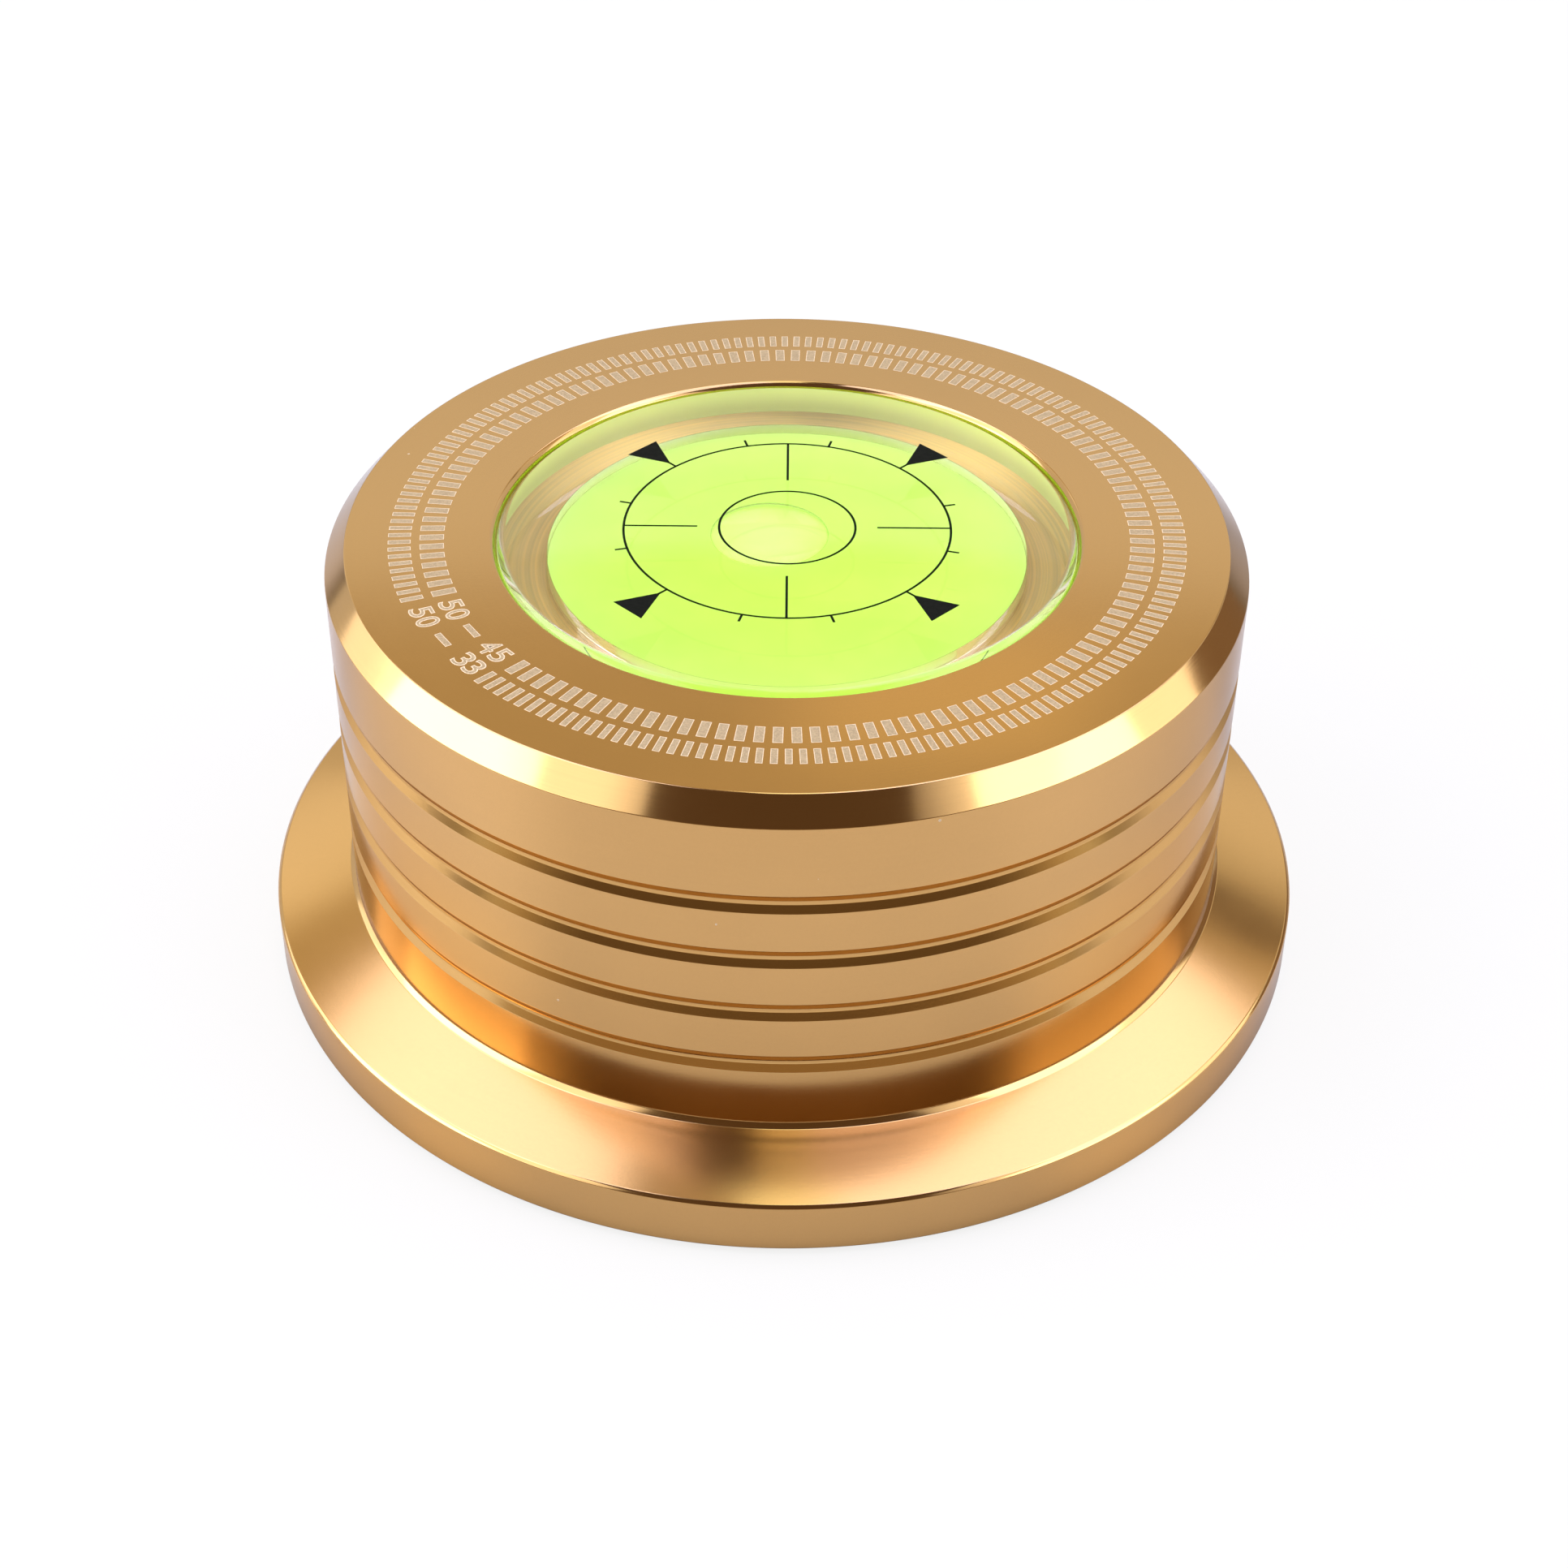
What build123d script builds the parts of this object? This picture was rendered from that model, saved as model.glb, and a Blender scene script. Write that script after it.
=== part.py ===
from build123d import *
import os
from math import cos, radians, sin, sqrt, tan

# A record weight clamp: a turned aluminium weight with a bullseye spirit level let into its top.
# Lengths are in millimetres and angles in degrees. Z is the turning axis, and Z = 0 is the underside
# of the felt pad, the face that rests on the label of a record.

# Spirit level
VIAL_DIAMETER = 42.6
VIAL_HEIGHT = 6.5
VIAL_EDGE_CHAMFER = 0.5
CHAMBER_DIAMETER = 35.0
CEILING_EDGE_DEPTH = 3.9  # thickness of the lens above the wall of the chamber
CEILING_RISE = 0.6  # the ceiling is hollowed to part of a sphere, this much higher in the middle
BASE_THICKNESS = 1.0
BASE_CLEARANCE = 0.05
BUBBLE_DIAMETER = 8.7
BUBBLE_DEPTH = 1.1
BUBBLE_X = -1.3
BUBBLE_Y = 1.6

# Weight, turned in one piece with its flange
VIAL_CLEARANCE = 0.1  # between the level and the wall of its recess
VIAL_SET_DOWN = 0.1  # of the level's top below the top face
RECESS_WALL = 12.4  # of metal around the recess
RECESS_EDGE_BREAK = 0.3
WEIGHT_HEIGHT = 33.9  # from the flange's underside to the top face
TOP_CHAMFER_WIDTH = 1.55
TOP_CHAMFER_HEIGHT = 1.74
FLANGE_WIDTH = 6.2  # that the flange stands out from the wall
FLANGE_RIM_HEIGHT = 4.1
FLANGE_SLOPE = 17.0
FLANGE_RIM_BREAK = 0.3
FLANGE_FOOT_BREAK = 0.25
FLANGE_CORNER_BREAK = 0.4  # left by the nose of the tool where the flange meets the wall

# Decorative grooves round the wall, each with two sloping flanks and a narrow floor
GROOVE_COUNT = 4
GROOVE_DEPTH = 0.28
GROOVE_FLANK = 0.6
GROOVE_FLOOR = 0.3
TOP_BAND = 5.58  # plain wall between the chamfer and the first groove
FOOT_BAND = 4.92  # plain wall between the last groove and the flange

# Bore for the spindle of a turntable, drilled from below
SPINDLE_DIAMETER = 7.2
SPINDLE_CLEARANCE = 0.1
BORE_WEB = 5.0  # metal left between the drill point and the level's recess
BORE_MOUTH_CHAMFER = 0.6
DRILL_POINT = 118.0

# Felt pad, glued into a shallow recess in the underside
PAD_THICKNESS = 1.5
PAD_PROUD = 0.5
PAD_SIDE_CLEARANCE = 0.15
PAD_BORDER = 4.5  # of bare metal outside the pad's recess
PAD_BORE_BORDER = 2.5  # of bare metal between the spindle bore's chamfer and the pad's recess

vial_radius = VIAL_DIAMETER / 2
chamber_radius = CHAMBER_DIAMETER / 2
recess_radius = vial_radius + VIAL_CLEARANCE
wall_radius = recess_radius + RECESS_WALL
flange_radius = wall_radius + FLANGE_WIDTH
bore_radius = SPINDLE_DIAMETER / 2 + SPINDLE_CLEARANCE

underside = PAD_PROUD
top = underside + WEIGHT_HEIGHT
rim_top = underside + FLANGE_RIM_HEIGHT
wall_foot = rim_top + FLANGE_WIDTH * tan(radians(FLANGE_SLOPE))
wall_head = top - TOP_CHAMFER_HEIGHT
vial_top = top - VIAL_SET_DOWN
recess_floor = vial_top - VIAL_HEIGHT
base_top = recess_floor + BASE_THICKNESS
chamber_edge = vial_top - CEILING_EDGE_DEPTH
ceiling_radius = (chamber_radius**2 + CEILING_RISE**2) / (2 * CEILING_RISE)
ceiling_centre = chamber_edge + CEILING_RISE - ceiling_radius
drill_point_height = bore_radius / tan(radians(DRILL_POINT / 2))
bore_end = recess_floor - BORE_WEB - drill_point_height
pad_recess_roof = underside + PAD_THICKNESS - PAD_PROUD
pad_recess_outer = flange_radius - PAD_BORDER
pad_recess_inner = bore_radius + BORE_MOUTH_CHAMFER + PAD_BORE_BORDER


def turned(face):
    """The solid that a flat half section of (radius, height) points makes when it turns about Z."""
    return revolve(Plane.XZ * face, Axis.Z)


def section(*corners):
    """A flat face with straight sides between the given (radius, height) corners."""
    return make_face(Polyline(*corners, close=True))


def on_slope(distance):
    """The point on the flange's sloping top, the given distance up from its outer edge."""
    slope = radians(FLANGE_SLOPE)
    return (flange_radius - distance * cos(slope), rim_top + distance * sin(slope))


def groove_corners():
    """The corners of the grooves, from the foot of the wall upwards."""
    height = 2 * GROOVE_FLANK + GROOVE_FLOOR
    lowest = wall_foot + FOOT_BAND
    highest = wall_head - TOP_BAND - height
    pitch = (highest - lowest) / (GROOVE_COUNT - 1)
    floor_radius = wall_radius - GROOVE_DEPTH
    corners = []
    for index in range(GROOVE_COUNT):
        bottom = lowest + index * pitch
        corners.append((wall_radius, bottom))
        corners.append((floor_radius, bottom + GROOVE_FLANK))
        corners.append((floor_radius, bottom + GROOVE_FLANK + GROOVE_FLOOR))
        corners.append((wall_radius, bottom + height))
    return corners


def make_weight():
    """The turned weight: bore, pad recess, flange, grooved wall, chamfer and recess for the level."""
    slope_length = FLANGE_WIDTH / cos(radians(FLANGE_SLOPE))
    face = section(
        (0, bore_end + drill_point_height),
        (bore_radius, bore_end),
        (bore_radius, underside + BORE_MOUTH_CHAMFER),
        (bore_radius + BORE_MOUTH_CHAMFER, underside),
        (pad_recess_inner, underside),
        (pad_recess_inner, pad_recess_roof),
        (pad_recess_outer, pad_recess_roof),
        (pad_recess_outer, underside),
        (flange_radius - FLANGE_FOOT_BREAK, underside),
        (flange_radius, underside + FLANGE_FOOT_BREAK),
        (flange_radius, rim_top - FLANGE_RIM_BREAK),
        on_slope(FLANGE_RIM_BREAK),
        on_slope(slope_length - FLANGE_CORNER_BREAK),
        (wall_radius, wall_foot + FLANGE_CORNER_BREAK),
        *groove_corners(),
        (wall_radius, wall_head),
        (wall_radius - TOP_CHAMFER_WIDTH, top),
        (recess_radius + RECESS_EDGE_BREAK, top),
        (recess_radius, top - RECESS_EDGE_BREAK),
        (recess_radius, recess_floor),
        (0, recess_floor),
    )
    return turned(face)


def upright(radius, bottom, height):
    """A cylinder that stands on the given height."""
    return Pos(0, 0, bottom) * Cylinder(radius, height, align=(Align.CENTER, Align.CENTER, Align.MIN))


def ball(radius, x, y, z):
    """A ball that lies on its side, so that its poles stay clear of the shallow domes cut from it."""
    return Pos(x, y, z) * Rot(90, 0, 0) * Sphere(radius)


def chamber(floor):
    """The inside of the level from the given floor up to its hollowed ceiling."""
    return upright(chamber_radius, floor, vial_top - floor) & ball(ceiling_radius, 0, 0, ceiling_centre)


def make_vial():
    """The clear body of the level: a thick lens with a chamfered rim, open below for the fluid."""
    blank = section(
        (0, recess_floor),
        (vial_radius, recess_floor),
        (vial_radius, vial_top - VIAL_EDGE_CHAMFER),
        (vial_radius - VIAL_EDGE_CHAMFER, vial_top),
        (0, vial_top),
    )
    return turned(blank) - chamber(recess_floor)


def make_fluid():
    """The spirit that fills the chamber, with the air bubble left out of it under the ceiling."""
    off_centre_squared = BUBBLE_X**2 + BUBBLE_Y**2
    ceiling_height = ceiling_centre + sqrt(ceiling_radius**2 - off_centre_squared)
    bubble_radius = ((BUBBLE_DIAMETER / 2) ** 2 + BUBBLE_DEPTH**2) / (2 * BUBBLE_DEPTH)
    bubble_centre = ceiling_height - BUBBLE_DEPTH + bubble_radius
    return chamber(base_top) - ball(bubble_radius, BUBBLE_X, BUBBLE_Y, bubble_centre)


def make_base():
    """The white disc that closes the chamber from below."""
    return upright(chamber_radius - BASE_CLEARANCE, recess_floor, BASE_THICKNESS)


def make_pad():
    """The ring of felt under the weight."""
    outer = pad_recess_outer - PAD_SIDE_CLEARANCE
    inner = pad_recess_inner + PAD_SIDE_CLEARANCE
    return turned(section((inner, 0), (outer, 0), (outer, PAD_THICKNESS), (inner, PAD_THICKNESS)))


nodes = {
    "weight_body": make_weight(),
    "level_vial": make_vial(),
    "level_fluid": make_fluid(),
    "level_base": make_base(),
    "felt_pad": make_pad(),
}

os.makedirs("parts", exist_ok=True)
for name, solid in nodes.items():
    export_step(solid, f"parts/{name}.step")
    size = solid.bounding_box().size
    print(f"{name}: {solid.volume / 1000:.2f} cm3, {size.X:.2f} x {size.Y:.2f} x {size.Z:.2f} mm")
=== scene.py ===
# %% [markdown]
# # A record weight with a bubble level
#
# The object is a gold anodised weight that drops over a turntable's spindle and steadies a record.
# A round bubble level is let into its top face, and two rings of strobe marks run around the level.
# The solids come packed from CAD, in metres, with Z as the turning axis and Z = 0 where the felt
# pad touches the label. This script dresses them: it keeps what is right, builds finer pieces where
# a lens close by would show a hard corner, and gives every surface a finish made of shader nodes.

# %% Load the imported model
from math import cos, pi, radians, sin, tan

import bmesh
import bpy
from mathutils import Matrix, Vector, noise


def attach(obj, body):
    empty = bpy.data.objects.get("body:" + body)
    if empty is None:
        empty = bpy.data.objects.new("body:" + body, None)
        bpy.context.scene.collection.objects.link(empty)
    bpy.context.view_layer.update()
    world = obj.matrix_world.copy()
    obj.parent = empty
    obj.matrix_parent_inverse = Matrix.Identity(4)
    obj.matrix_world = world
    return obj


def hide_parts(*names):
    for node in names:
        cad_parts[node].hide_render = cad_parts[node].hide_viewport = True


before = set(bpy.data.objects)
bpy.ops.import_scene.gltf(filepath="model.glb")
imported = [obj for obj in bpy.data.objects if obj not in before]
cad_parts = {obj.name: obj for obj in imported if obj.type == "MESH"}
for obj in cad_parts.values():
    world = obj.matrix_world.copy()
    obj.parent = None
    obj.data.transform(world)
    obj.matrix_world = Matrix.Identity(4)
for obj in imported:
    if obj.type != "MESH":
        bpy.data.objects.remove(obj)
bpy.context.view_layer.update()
scene = bpy.context.scene
scene.view_settings.view_transform = "Standard"
MM = 0.001  # sizes below are written in millimetres, as on a drawing
print("CAD nodes:", ", ".join(sorted(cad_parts)))

# %% [markdown]
# ## The camera
#
# The photograph looks down on the weight from the front, along -Y to +Y. A camera can be aimed by
# eye, or worked out from edges whose real shape is known. Here every edge is a circle about Z, so
# the circles' outlines gave the lens, the distance and the tilt. The rotation is built in the order
# in which a photographer would set it: look at the weight, roll a touch, then tip the lens up so
# that the weight sits below the middle.

# %% Camera at the photograph's viewpoint
VIEW_HEIGHT = radians(39.363)  # angle of the line of sight to the weight's foot
VIEW_DISTANCE = 222.41 * MM
VIEW_ROLL, VIEW_TIP = radians(0.524), radians(2.070)
FOCAL_LENGTH, SENSOR_WIDTH = 63.17, 36.0
FOOT = Vector((0, 0, 0.5 * MM))

lens = bpy.data.cameras.new("camera")
lens.sensor_width = SENSOR_WIDTH
lens.lens = FOCAL_LENGTH
lens.clip_start = 0.01
camera = bpy.data.objects.new("camera", lens)
scene.collection.objects.link(camera)
place = FOOT + VIEW_DISTANCE * Vector((0, -cos(VIEW_HEIGHT), sin(VIEW_HEIGHT)))
aim = Matrix.Rotation(pi / 2 - VIEW_HEIGHT, 4, "X")
roll = Matrix.Rotation(VIEW_ROLL, 4, "Z")
tip = Matrix.Rotation(VIEW_TIP, 4, "X")
camera.matrix_world = Matrix.Translation(place) @ aim @ roll @ tip
scene.camera = camera
print("camera at", [round(x, 4) for x in place])

# %% [markdown]
# ## Node helpers
#
# Every finish below is a small graph of shader nodes. Written in full, each node takes four or five
# lines, so a few helpers keep the graphs readable. The first ones add a node, feed its sockets and
# start a material. The others do arithmetic on sockets or numbers, spread a value from one range to
# another, and mix two colours.


# %% Helpers: nodes and materials
def add(tree, kind, **values):
    """A new node. Names with a capital set an input, and the others set a property of the node."""
    made = tree.nodes.new("ShaderNode" + kind)
    for name, value in values.items():
        if name[0].islower():
            setattr(made, name, value)
        else:
            put(tree, made.inputs[name.replace("_", " ")], value)
    return made


def put(tree, socket, value):
    """Feed a socket with another socket's value or with a plain one."""
    if isinstance(value, bpy.types.NodeSocket):
        tree.links.new(value, socket)
    else:
        socket.default_value = value


def new_finish(name):
    """A new material, its node tree and its Principled shader."""
    finish = bpy.data.materials.new(name)
    finish.use_nodes = True
    return finish, finish.node_tree, finish.node_tree.nodes["Principled BSDF"]


def place_of(tree):
    """Where a point lies on its own piece."""
    return add(tree, "TexCoord").outputs["Object"]


def show_mix(tree, factor, first, second):
    """Put a mix of two shaders on the surface."""
    both = add(tree, "MixShader")
    for socket, value in zip(both.inputs, (factor, first, second)):
        put(tree, socket, value)
    put(tree, tree.nodes["Material Output"].inputs["Surface"], both.outputs[0])


# %% Helpers: arithmetic and colour
def math(tree, operation, *values):
    """The result of a Math node."""
    made = add(tree, "Math", operation=operation)
    for socket, value in zip(made.inputs, values):
        put(tree, socket, value)
    return made.outputs[0]


def times(tree, first, *others):
    """The product of all the values."""
    for other in others:
        first = math(tree, "MULTIPLY", first, other)
    return first


def rest_of(tree, value):
    """What a share leaves over."""
    return math(tree, "SUBTRACT", 1.0, value)


def swing(tree, value, depth):
    """A pattern between 0 and 1 made a swing of that depth about zero."""
    return times(tree, math(tree, "SUBTRACT", value, 0.5), depth)


def spread(tree, value, low, high, to_low=0.0, to_high=1.0):
    """A value taken from one range to another with soft ends."""
    made = add(tree, "MapRange", interpolation_type="SMOOTHSTEP", Value=value)
    ends = {"From Min": low, "From Max": high, "To Min": to_low, "To Max": to_high}
    for name, number in ends.items():
        put(tree, made.inputs[name], number)
    return made.outputs["Result"]


def blend(tree, factor, first, second, kind="MIX"):
    """A colour between two others, or the product of both."""
    made = add(tree, "Mix", data_type="RGBA", blend_type=kind)
    for name, value in (("Factor", factor), ("A", first), ("B", second)):
        put(tree, made.inputs[name], value)
    return made.outputs["Result"]


def grey(tree, tone):
    """A tone as a colour."""
    return add(tree, "CombineColor", Red=tone, Green=tone, Blue=tone).outputs[0]


def rgb(red, green, blue):
    """A colour for a socket, with full alpha."""
    return (red, green, blue, 1.0)


# %% [markdown]
# ## The room and its light
#
# Polished metal shows the room more than itself, so the light comes before the metal. The weight
# was shot on a white table: the wall of the weight mirrors the table, the top face mirrors a pale
# sheet that stands behind, and the chamfer and the flange mirror lit cloth at the left, at the
# right and overhead. Towards the camera the room is dark, and that is the brown patch at the front
# of the chamfer and of each groove. The world carries the sheet and the ceiling, and area lamps are
# the lit cloth. Upright cards, seen only in reflections, are painted shade for the dim parts of the
# room in front and on the right. One more card, a brighter one, is a painted highlight for the end
# of the lit cloth at the back.

# %% World: a pale sheet all round, a dim warm ceiling above it
SHEET_TOP = 0.545  # sine of the height at which the pale sheet ends
SHEET, SHEET_EDGE = rgb(0.84, 0.79, 0.68), rgb(0.98, 0.92, 0.78)
NEAR_CEILING = rgb(0.13, 0.08, 0.05)
FAR_CEILING, FAR_CEILING_TOP = rgb(0.66, 0.53, 0.31), rgb(0.48, 0.37, 0.25)

world = bpy.data.worlds.new("studio")
scene.world = world
world.use_nodes = True
tree = world.node_tree
direction = add(tree, "SeparateXYZ", Vector=add(tree, "TexCoord").outputs["Generated"])
depth, height = direction.outputs["Y"], direction.outputs["Z"]
far_ceiling = blend(tree, spread(tree, height, 0.60, 0.95), FAR_CEILING, FAR_CEILING_TOP)
ceiling = blend(tree, spread(tree, depth, -0.3, 0.3), NEAR_CEILING, far_ceiling)
sheet = blend(tree, spread(tree, height, 0.45, 0.53), SHEET, SHEET_EDGE)
above = spread(tree, height, SHEET_TOP - 0.01, SHEET_TOP + 0.01)
put(tree, tree.nodes["Background"].inputs["Color"], blend(tree, above, sheet, ceiling))
tree.nodes["Background"].inputs["Strength"].default_value = 1.0
print("world: sheet, near ceiling and far ceiling")


# %% Lit cloth
def softbox(name, middle, lean, width, length, radiance, colour=(1, 1, 1)):
    """An area lamp turned about Y. A lean of -90 is a left wall, 0 a ceiling and 90 a right wall."""
    lamp = bpy.data.lights.new(name, "AREA")
    lamp.shape = "RECTANGLE"
    lamp.size = width
    lamp.size_y = length
    lamp.energy = radiance * pi * width * length
    lamp.color = colour
    stand = bpy.data.objects.new(name, lamp)
    stand.matrix_world = Matrix.Translation(middle) @ Matrix.Rotation(radians(lean), 4, "Y")
    stand.visible_camera = False
    scene.collection.objects.link(stand)
    print(f"{name}: {lamp.energy:.2f} W")


DAYLIGHT, SEAM_LIGHT = (0.96, 1.0, 1.5), (0.92, 1.03, 0.9)
# Name, middle, lean, width, length, radiance and colour, in metres and degrees.
softbox("left_wall", (-0.50, -0.220, 0.515), -90, 0.73, 0.96, 2.0)
softbox("left_bulb", (-0.49, -0.090, 0.270), -90, 0.29, 0.36, 2.6)
softbox("left_low", (-0.50, 0.220, 0.130), -90, 0.08, 0.18, 1.2)
softbox("left_back", (-0.50, 0.740, 0.410), -90, 0.16, 0.36, 0.46)
softbox("right_wall", (0.50, -0.298, 0.495), 90, 0.73, 0.965, 1.3)
softbox("right_bulb", (0.49, -0.230, 0.400), 90, 0.33, 0.42, 2.2)
softbox("right_back", (0.50, 0.810, 0.370), 90, 0.12, 0.34, 0.30)
softbox("top_left", (-0.303, 0.140, 0.60), 0, 0.336, 0.72, 1.93, DAYLIGHT)
softbox("top_right", (0.272, 0.140, 0.60), 0, 0.456, 0.72, 1.95, DAYLIGHT)
softbox("top_seam", (0.005, 0.140, 0.60), 0, 0.078, 0.72, 1.7, SEAM_LIGHT)


# %% Cards: painted shade and a painted highlight, seen only in reflections
def card(name, middle, lean, width, height, colour, firm=0.98):
    """An upright card, seen only in reflections, where it paints shade, or a highlight if it is
    bright. It is turned about Z by the lean and fades out beyond the firm share of its width.
    """
    mesh = bmesh.new()
    mesh.loops.layers.uv.new("card")
    upright = Matrix.Rotation(pi / 2, 4, "X") @ Matrix.Diagonal((width, height, 1, 1))
    place = Matrix.Translation(middle) @ Matrix.Rotation(radians(lean), 4, "Z") @ upright
    bmesh.ops.create_grid(mesh, x_segments=1, y_segments=1, size=0.5, matrix=place, calc_uvs=True)
    data = bpy.data.meshes.new(name)
    mesh.to_mesh(data)
    mesh.free()
    painted_reflection, tree, _ = new_finish(name + "_paper")
    across = add(tree, "SeparateXYZ", Vector=add(tree, "UVMap", uv_map="card").outputs[0]).outputs["X"]
    from_middle = math(tree, "ABSOLUTE", math(tree, "SUBTRACT", across, 0.5))
    tone = add(tree, "Emission", Color=colour, Strength=1.0)
    clear = add(tree, "BsdfTransparent")
    show_mix(tree, spread(tree, from_middle, firm / 2, 0.5), tone.outputs[0], clear.outputs[0])
    data.materials.append(painted_reflection)
    stand = bpy.data.objects.new(name, data)
    stand.visible_camera = False
    stand.visible_diffuse = False
    stand.visible_shadow = False
    scene.collection.objects.link(stand)
    print(f"{name}: {width} x {height} m")


# Name, middle, lean, width, height, colour and firm share, in metres and degrees.
# The dark cards paint shade into the reflections, and the back card paints a highlight.
card("front_card", (0.006, -0.20, 0.21), 0, 0.43, 0.30, rgb(0.13, 0.08, 0.045), 0.30)
card("front_mid_card", (0, -0.16, 0.055), 0, 0.62, 0.05, rgb(0.16, 0.11, 0.065), 0.40)
card("front_low_card", (0, -0.16, 0.015), 0, 0.58, 0.03, rgb(0.41, 0.29, 0.17), 0.40)
card("front_wide_card", (0, -0.17, 0.03), 0, 0.96, 0.06, rgb(0.62, 0.50, 0.34), 0.50)
card("side_card", (0.45, 0.315, 0.085), 90, 0.40, 0.13, rgb(0.30, 0.20, 0.12))
card("corner_card", (0.26, 0.33, 0.275), 142, 0.12, 0.066, rgb(0.18, 0.13, 0.08))
card("back_card", (0.048, 0.50, 0.405), 0, 0.14, 0.05, rgb(0.95, 0.76, 0.42), 0.3)

# %% [markdown]
# ## The table
#
# The table is a large white disc. The photograph is exposed so far that the table itself is blown
# out, while the darker metal still mirrors its real tones. So the camera and the glass see mostly a
# plain white glow, with enough of the lit disc for a faint shadow, and mirror rays see painted light
# and shade of their own: painted light, brighter at the left and a little at the right, painted
# shade before the foot and behind it at the right, where the weight keeps light off, a painted
# contact shadow at the foot, and painted gold light beside the foot, where the flange throws gold
# light down. A picture could carry that painted light and shade, but a few ramps over the distance
# and the direction from the weight say the same.

# %% Floor disc
FLOOR_RADIUS = 12.0
mesh = bmesh.new()
bmesh.ops.create_circle(mesh, cap_ends=True, segments=96, radius=FLOOR_RADIUS)
data = bpy.data.meshes.new("floor")
mesh.to_mesh(data)
mesh.free()
floor = bpy.data.objects.new("floor", data)
scene.collection.objects.link(floor)
print(f"floor: {FLOOR_RADIUS} m in radius")

# %% Table: where a point lies around the weight
table, tree, matt = new_finish("white_table")
matt.inputs["Roughness"].default_value = 0.8
here = place_of(tree)
distance = add(tree, "VectorMath", operation="LENGTH")
put(tree, distance.inputs[0], here)
away = distance.outputs["Value"]
spot = add(tree, "SeparateXYZ", Vector=here)
sideways = math(tree, "DIVIDE", spot.outputs["X"], away)  # -1 at the left, 1 at the right
backwards = math(tree, "DIVIDE", spot.outputs["Y"], away)  # -1 in front, 1 behind
aside = math(tree, "ABSOLUTE", sideways)
ahead = spread(tree, aside, 0.55, 0.90, 1.0, 0.0)
behind = spread(tree, backwards, 0.12, 0.40)
data.materials.append(table)
print("table: directions around the weight")

# %% Table: the painted light and shade that metal mirrors
FRONT_TONE, LEFT_PAINTED_TONE, RIGHT_PAINTED_GAIN = 0.575, 0.68, 0.05
PAINTED_GOLD_LIGHT = rgb(0.84, 0.77, 0.60)
# Painted light: the table is brighter at the left, and a little at the right.
left_painted_tone = spread(tree, sideways, -0.88, -0.60, LEFT_PAINTED_TONE, FRONT_TONE)
tone = math(tree, "ADD", left_painted_tone, spread(tree, sideways, 0.45, 0.80, 0.0, RIGHT_PAINTED_GAIN))
# Painted shade before the foot and behind it at the right.
front_shade = times(tree, ahead, spread(tree, away, 43 * MM, 64 * MM, 0.11, 0.05))
back_shade = times(tree, behind, spread(tree, spot.outputs["X"], 40 * MM, 110 * MM, 0.15, 0.45))
# A painted contact shadow where the flange meets the table.
painted_contact_shadow = spread(tree, away, 40.0 * MM, 41.5 * MM, 0.85, 1.0)
tone = times(tree, tone, rest_of(tree, math(tree, "ADD", front_shade, back_shade)), painted_contact_shadow)
# Painted gold light that the flange throws down beside the foot.
begins = spread(tree, away, 40.8 * MM, 44.0 * MM)
painted_wide_gold_light = times(tree, begins, spread(tree, away, 47 * MM, 60 * MM, 0.75, 0.0))
painted_wide_gold_light = times(tree, painted_wide_gold_light, rest_of(tree, ahead), rest_of(tree, behind))
diagonal = times(tree, spread(tree, aside, 0.40, 0.65), spread(tree, aside, 0.66, 0.84, 1.0, 0.0))
painted_close_gold_light = times(tree, diagonal, spread(tree, away, 42.5 * MM, 46.0 * MM, 0.55, 0.0))
painted_gold_light_share = math(tree, "MAXIMUM", painted_wide_gold_light, painted_close_gold_light)
painted_mirror_tones = blend(tree, painted_gold_light_share, grey(tree, tone), PAINTED_GOLD_LIGHT)
print(f"table: tone {FRONT_TONE} in front, {LEFT_PAINTED_TONE} at the left")

# %% Table: what the camera sees
LIT_TONE, GLOW_SHARE = 0.67, 0.82
path = add(tree, "LightPath")
lit = rgb(LIT_TONE, LIT_TONE, LIT_TONE)
# Only mirror rays see the painted light and shade; other rays see the plain lit tone.
put(tree, matt.inputs["Base Color"], blend(tree, path.outputs["Is Glossy Ray"], lit, painted_mirror_tones))
glow = add(tree, "Emission", Color=rgb(1, 1, 1), Strength=1.0)
seen = math(tree, "MAXIMUM", path.outputs["Is Camera Ray"], path.outputs["Is Transmission Ray"])
show_mix(tree, times(tree, seen, GLOW_SHARE), matt.outputs[0], glow.outputs[0])
print(f"table: {GLOW_SHARE} glow for the camera")

# %% [markdown]
# ## Effects that several finishes share
#
# Four small node groups hold what more than one finish needs. The first says where a point lies on
# the lathe: how far from the axis, how high, and how far round. The second is the fine grain of a
# blasted and anodised surface, the third the lines that a turning tool leaves, and the fourth a
# scatter of dust.


# %% Helpers: a shader group with named sockets
def new_group(name, inputs, outputs):
    """An empty group. Inputs are name, kind and default, and outputs are name and kind."""
    group = bpy.data.node_groups.new(name, "ShaderNodeTree")
    for label, kind, value in inputs:
        socket = group.interface.new_socket(label, in_out="INPUT", socket_type="NodeSocket" + kind)
        if value is not None:
            socket.default_value = value
    for label, kind in outputs:
        group.interface.new_socket(label, in_out="OUTPUT", socket_type="NodeSocket" + kind)
    entry = group.nodes.new("NodeGroupInput")
    leave = group.nodes.new("NodeGroupOutput")
    return group, entry.outputs, leave.inputs


def use(tree, group, **values):
    """The outputs of a group placed in a material."""
    made = tree.nodes.new("ShaderNodeGroup")
    made.node_tree = group
    for name, value in values.items():
        put(tree, made.inputs[name.replace("_", " ")], value)
    return made.outputs


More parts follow.
